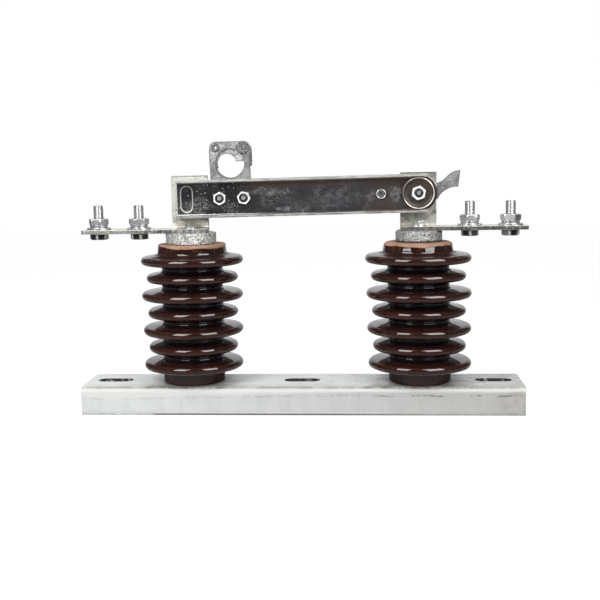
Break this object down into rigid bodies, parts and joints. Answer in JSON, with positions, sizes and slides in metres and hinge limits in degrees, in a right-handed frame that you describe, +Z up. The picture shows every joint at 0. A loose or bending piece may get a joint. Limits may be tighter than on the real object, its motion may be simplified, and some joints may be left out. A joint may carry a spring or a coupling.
{
  "type": "outdoor disconnect switch",
  "caption": "Single-pole outdoor disconnect switch: channel base, two ribbed porcelain posts, hinged knife blade of two pressed channels, pull-ring latch and bolted terminals.",
  "frame": {"origin": "middle of the base channel's underside, under the middle fixing slot, within 2 mm of the bounding box's bottom centre", "axes": "+X along the base towards the hinge end, +Y towards the back, behind the blade, +Z up"},
  "size_m": [0.4538, 0.1078, 0.2764],
  "materials": {
    "galvanised_channel": "hot-dip galvanised sheet, pale, streaked",
    "brown_porcelain": "dark red-brown glaze, bare clay at the top rim",
    "rough_galvanised": "rough galvanised casting, speckled",
    "plated_bracket": "tin-plated plate, warm pale grey",
    "bright_blade": "bright plated, mirror-like, scratched",
    "matte_galvanised": "matte mottled galvanised plate",
    "dark_rivet": "dull dark steel",
    "cup_washer": "bright pressed washer with a dark dish",
    "plated_fastener": "bright zinc plate"
  },
  "bodies": {
    "base": {"base_channel": "galvanised_channel", "contact_post": "brown_porcelain", "hinge_post": "brown_porcelain", "contact_cap": "rough_galvanised", "hinge_cap": "rough_galvanised", "contact_foot_insert": "rough_galvanised", "hinge_foot_insert": "rough_galvanised", "contact_foot_bolt": "plated_fastener", "hinge_foot_bolt": "plated_fastener", "contact_foot_washers": "plated_fastener", "hinge_foot_washers": "plated_fastener", "contact_bracket": "plated_bracket", "hinge_bracket": "plated_bracket", "contact_cap_bolt": "plated_fastener", "hinge_cap_bolt": "plated_fastener", "contact_cap_washer": "plated_fastener", "hinge_cap_washer": "plated_fastener", "terminal_bolt_1": "plated_fastener", "terminal_bolt_2": "plated_fastener", "terminal_bolt_3": "plated_fastener", "terminal_bolt_4": "plated_fastener", "terminal_nut_1": "plated_fastener", "terminal_nut_2": "plated_fastener", "terminal_nut_3": "plated_fastener", "terminal_nut_4": "plated_fastener", "terminal_washers_1": "plated_fastener", "terminal_washers_2": "plated_fastener", "terminal_washers_3": "plated_fastener", "terminal_washers_4": "plated_fastener"},
    "blade": {"blade_front": "bright_blade", "blade_rear": "bright_blade", "blade_rivet": "plated_fastener", "stop_horn": "matte_galvanised", "pivot_bolt": "plated_fastener", "pivot_nut": "plated_fastener", "pivot_cup_front": "cup_washer", "pivot_cup_rear": "cup_washer", "latch_pivot_bolt": "plated_fastener", "latch_rest_bolt": "plated_fastener", "latch_pivot_nut": "plated_fastener", "latch_rest_nut": "plated_fastener", "latch_pivot_sleeve": "plated_fastener", "latch_rest_sleeve": "plated_fastener"},
    "latch": {"latch_ring": "matte_galvanised", "latch_hook": "matte_galvanised", "latch_rivet_left": "dark_rivet", "latch_rivet_right": "dark_rivet"}
  },
  "joints": [
    {"name": "blade_hinge", "type": "hinge", "parent": "base", "child": "blade", "pos_m": [0.1208, 0.0115, 0.2211], "axis": [0, 1, 0], "range_deg": [0, 70]},
    {"name": "latch_pivot", "type": "hinge", "parent": "blade", "child": "latch", "pos_m": [-0.05718, 0.0115, 0.21862], "axis": [0, 1, 0], "range_deg": [0, 20]}
  ]
}
